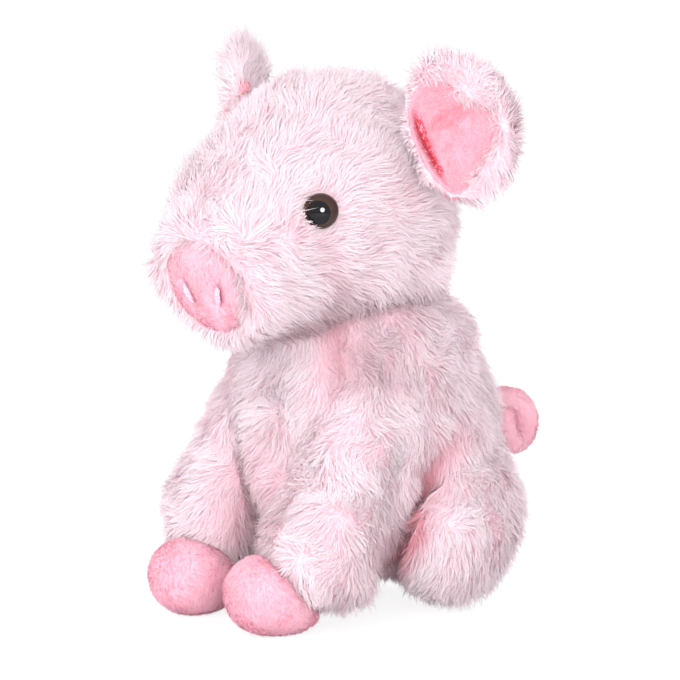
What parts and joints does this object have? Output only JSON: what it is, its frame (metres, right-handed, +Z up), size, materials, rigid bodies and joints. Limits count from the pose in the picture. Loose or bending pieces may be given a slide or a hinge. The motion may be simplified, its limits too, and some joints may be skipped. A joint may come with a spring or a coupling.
{
  "type": "plush pig",
  "caption": "Sitting stuffed pig with a long-pile cover, short-pile snout, ears, hooves and curled tail, and a head, ears, legs and tail that flex at their seams.",
  "frame": {"origin": "middle of the footprint, on the surface that the pig sits on", "axes": "+Z up, the pig faces -Y, its left side is +X"},
  "size_m": [0.141, 0.1714, 0.2006],
  "materials": {
    "long_pile": "long fluffy pile",
    "short_pile": "short plush pile",
    "stuffing": "loose polyester fibre",
    "seam_thread": "spun thread",
    "nostril_thread": "satin stitch",
    "eye_plastic": "polished",
    "washer_plastic": "moulded"
  },
  "bodies": {
    "torso": {"torso_cover": "long_pile", "torso_filling": "stuffing"},
    "neck": {"neck_seam": "seam_thread"},
    "head": {"head_cover": "long_pile", "head_filling": "stuffing", "snout_panel": "short_pile", "nostril_stitch_left": "nostril_thread", "nostril_stitch_right": "nostril_thread", "eye_left": "eye_plastic", "eye_right": "eye_plastic", "eye_washer_left": "washer_plastic", "eye_washer_right": "washer_plastic"},
    "ear_left": {"ear_panel_left": "long_pile", "ear_lining_left": "short_pile"},
    "ear_right": {"ear_panel_right": "long_pile", "ear_lining_right": "short_pile"},
    "front_leg_left": {"front_leg_cover_left": "long_pile", "front_leg_filling_left": "stuffing", "front_hoof_left": "short_pile"},
    "front_leg_right": {"front_leg_cover_right": "long_pile", "front_leg_filling_right": "stuffing", "front_hoof_right": "short_pile"},
    "hind_leg_left": {"hind_leg_cover_left": "long_pile", "hind_leg_filling_left": "stuffing"},
    "hind_leg_right": {"hind_leg_cover_right": "long_pile", "hind_leg_filling_right": "stuffing"},
    "tail": {"tail": "short_pile"}
  },
  "joints": [
    {"name": "head_turn", "type": "hinge", "parent": "torso", "child": "neck", "pos_m": [0.00098, -0.00366, 0.082], "axis": [0, 0, 1], "range_deg": [-20, 20], "stiffness_Nm_per_rad": 0.4},
    {"name": "head_nod", "type": "hinge", "parent": "neck", "child": "head", "pos_m": [0.00098, -0.00366, 0.082], "axis": [0.9945, 0.1045, 0], "range_deg": [-8, 8], "stiffness_Nm_per_rad": 1},
    {"name": "ear_left_flop", "type": "hinge", "parent": "head", "child": "ear_left", "pos_m": [0.04369, -0.00822, 0.169], "axis": [-0.2237, -0.0235, 0.9744], "range_deg": [-20, 20], "stiffness_Nm_per_rad": 0.03},
    {"name": "ear_right_flop", "type": "hinge", "parent": "head", "child": "ear_right", "pos_m": [-0.03984, -0.01701, 0.169], "axis": [-0.2237, -0.0235, -0.9744], "range_deg": [-20, 20], "stiffness_Nm_per_rad": 0.03},
    {"name": "front_leg_left_swing", "type": "hinge", "parent": "torso", "child": "front_leg_left", "pos_m": [0.02998, -0.01066, 0.084], "axis": [-1, 0, 0], "range_deg": [-3, 30], "stiffness_Nm_per_rad": 0.3},
    {"name": "front_leg_right_swing", "type": "hinge", "parent": "torso", "child": "front_leg_right", "pos_m": [-0.02802, -0.01066, 0.084], "axis": [-1, 0, 0], "range_deg": [-3, 30], "stiffness_Nm_per_rad": 0.3},
    {"name": "hind_leg_left_swing", "type": "hinge", "parent": "torso", "child": "hind_leg_left", "pos_m": [0.02498, 0.03433, 0.066], "axis": [-1, 0, 0], "range_deg": [-4, 4], "stiffness_Nm_per_rad": 0.3},
    {"name": "hind_leg_right_swing", "type": "hinge", "parent": "torso", "child": "hind_leg_right", "pos_m": [-0.02302, 0.03433, 0.066], "axis": [-1, 0, 0], "range_deg": [-4, 4], "stiffness_Nm_per_rad": 0.3},
    {"name": "tail_wag", "type": "hinge", "parent": "torso", "child": "tail", "pos_m": [0.00098, 0.05983, 0.057], "axis": [0, 0, 1], "range_deg": [-15, 15], "stiffness_Nm_per_rad": 0.03}
  ]
}
